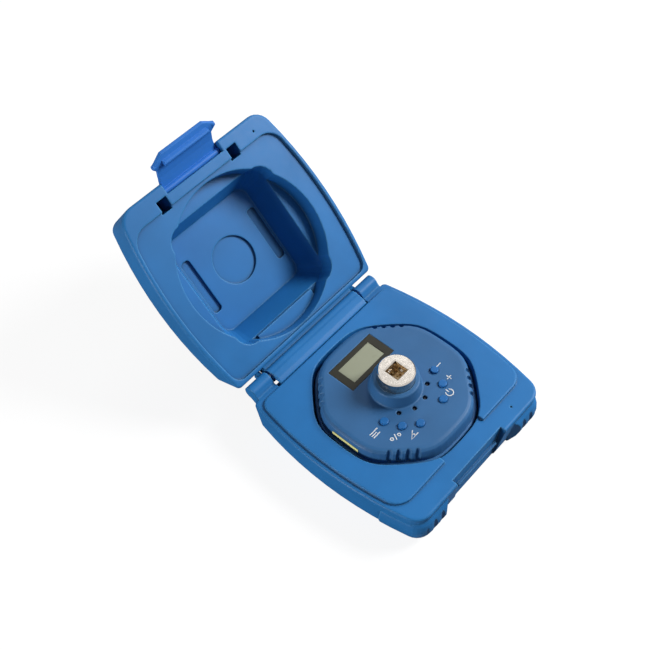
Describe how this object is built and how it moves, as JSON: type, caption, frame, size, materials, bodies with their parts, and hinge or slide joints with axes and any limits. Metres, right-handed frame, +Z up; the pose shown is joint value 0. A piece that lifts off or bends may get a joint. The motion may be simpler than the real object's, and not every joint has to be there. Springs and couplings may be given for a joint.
{
  "type": "torque angle gauge",
  "caption": "Digital torque angle gauge with a square drive, display and push buttons, in its blue hinged carrying case.",
  "frame": {"origin": "on the gauge's axis, at the face that the case rests on", "axes": "+X along the hinge to the right seen from the latch side, +Y from the latch side to the hinge, +Z up"},
  "size_m": [0.138, 0.2522, 0.1415],
  "materials": {
    "case_plastic": "fine moulded grain, satin",
    "latch_plastic": "smooth satin",
    "gauge_plastic": "fine grain, satin",
    "key_plastic": "smooth soft keys",
    "frame_plastic": "dark brown print under a clear cover",
    "display_glass": "grey green display, clear cover",
    "shaft_chrome": "polished chrome plate",
    "pin_steel": "drawn steel",
    "board_plastic": "green board",
    "black_plastic": "moulded",
    "lamp_plastic": "clear moulded lamps, off",
    "cell_metal": "plain sleeve",
    "contact_brass": "plated",
    "label_paper": "yellow film strip"
  },
  "bodies": {
    "base": {"case_base": "case_plastic", "lid_hinge_pin": "pin_steel"},
    "lid": {"case_lid": "case_plastic", "latch_pin": "pin_steel"},
    "latch": {"latch": "latch_plastic"},
    "gauge": {"upper_housing": "gauge_plastic", "lower_housing": "gauge_plastic", "drive_shaft": "shaft_chrome", "detent_spring": "pin_steel", "display_frame": "frame_plastic", "lcd_panel": "display_glass", "circuit_board": "board_plastic", "tact_switches": "black_plastic", "indicator_leds": "lamp_plastic", "buzzer": "black_plastic", "battery_cells": "cell_metal", "battery_contacts": "contact_brass", "battery_cover": "gauge_plastic", "battery_cover_screw": "pin_steel", "housing_screws": "pin_steel", "side_label": "label_paper"},
    "ball": {"detent_ball": "pin_steel"},
    "button_back_left": {"button_back_left": "key_plastic"},
    "button_mid_left": {"button_mid_left": "key_plastic"},
    "button_front_left": {"button_front_left": "key_plastic"},
    "button_back_right": {"button_back_right": "key_plastic"},
    "button_mid_right": {"button_mid_right": "key_plastic"},
    "button_front_right": {"button_front_right": "key_plastic"}
  },
  "joints": [
    {"name": "lid_hinge", "type": "hinge", "parent": "base", "child": "lid", "pos_m": [0, 0.0675, 0.028], "axis": [-1, 0, 0], "range_deg": [-135, 0]},
    {"name": "latch_hinge", "type": "hinge", "parent": "lid", "child": "latch", "pos_m": [-0.0016, 0.16331, 0.11561], "axis": [-1, 0, 0], "range_deg": [-34.5, 0]},
    {"name": "gauge_lift", "type": "slide", "parent": "base", "child": "gauge", "axis": [0, 0, 1], "range_m": [0, 0.04]},
    {"name": "button_back_left_press", "type": "slide", "parent": "gauge", "child": "button_back_left", "axis": [0, 0, -1], "range_m": [0, 0.0007], "stiffness_N_per_m": 1500},
    {"name": "button_mid_left_press", "type": "slide", "parent": "gauge", "child": "button_mid_left", "axis": [0, 0, -1], "range_m": [0, 0.0007], "stiffness_N_per_m": 1500},
    {"name": "button_front_left_press", "type": "slide", "parent": "gauge", "child": "button_front_left", "axis": [0, 0, -1], "range_m": [0, 0.0007], "stiffness_N_per_m": 1500},
    {"name": "button_back_right_press", "type": "slide", "parent": "gauge", "child": "button_back_right", "axis": [0, 0, -1], "range_m": [0, 0.0007], "stiffness_N_per_m": 1500},
    {"name": "button_mid_right_press", "type": "slide", "parent": "gauge", "child": "button_mid_right", "axis": [0, 0, -1], "range_m": [0, 0.0007], "stiffness_N_per_m": 1500},
    {"name": "button_front_right_press", "type": "slide", "parent": "gauge", "child": "button_front_right", "axis": [0, 0, -1], "range_m": [0, 0.0007], "stiffness_N_per_m": 1500},
    {"name": "ball_press", "type": "slide", "parent": "gauge", "child": "ball", "axis": [-1, 0, 0], "range_m": [0, 0.0008], "stiffness_N_per_m": 3000, "deforming": ["detent_spring"]}
  ]
}
